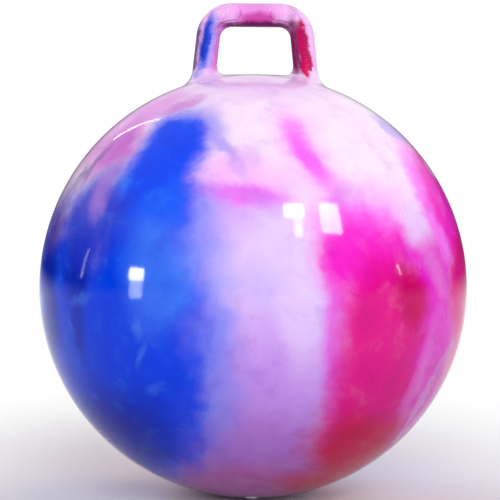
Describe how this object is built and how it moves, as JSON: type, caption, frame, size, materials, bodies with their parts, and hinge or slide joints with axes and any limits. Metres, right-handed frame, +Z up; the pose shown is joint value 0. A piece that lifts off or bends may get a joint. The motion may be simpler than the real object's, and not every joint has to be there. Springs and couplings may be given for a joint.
{
  "type": "hopper ball",
  "caption": "Inflated vinyl hopper ball in marbled blue, lilac and magenta, with a hollow loop handle on flared roots and a push-in air plug.",
  "frame": {"origin": "middle of the flat on the underside that the ball settles on", "axes": "+Z up through the handle, +X along the hand bar, -Y towards the side that the valve is on"},
  "size_m": [0.4499, 0.4498, 0.5203],
  "materials": {
    "ball_vinyl": "glossy soft vinyl, marbled",
    "handle_vinyl": "satin soft vinyl, marbled, ribbed grip panels",
    "seat_vinyl": "glossy soft vinyl",
    "plug_vinyl": "satin moulded vinyl"
  },
  "bodies": {
    "ball": {"ball_skin": "ball_vinyl", "loop_handle": "handle_vinyl", "left_root_collar": "ball_vinyl", "right_root_collar": "ball_vinyl", "valve_seat": "seat_vinyl"},
    "plug": {"valve_plug": "plug_vinyl"}
  },
  "joints": [
    {"name": "plug_pull", "type": "slide", "parent": "ball", "child": "plug", "axis": [0, -0.2756, -0.9613], "range_m": [0, 0.025]}
  ]
}
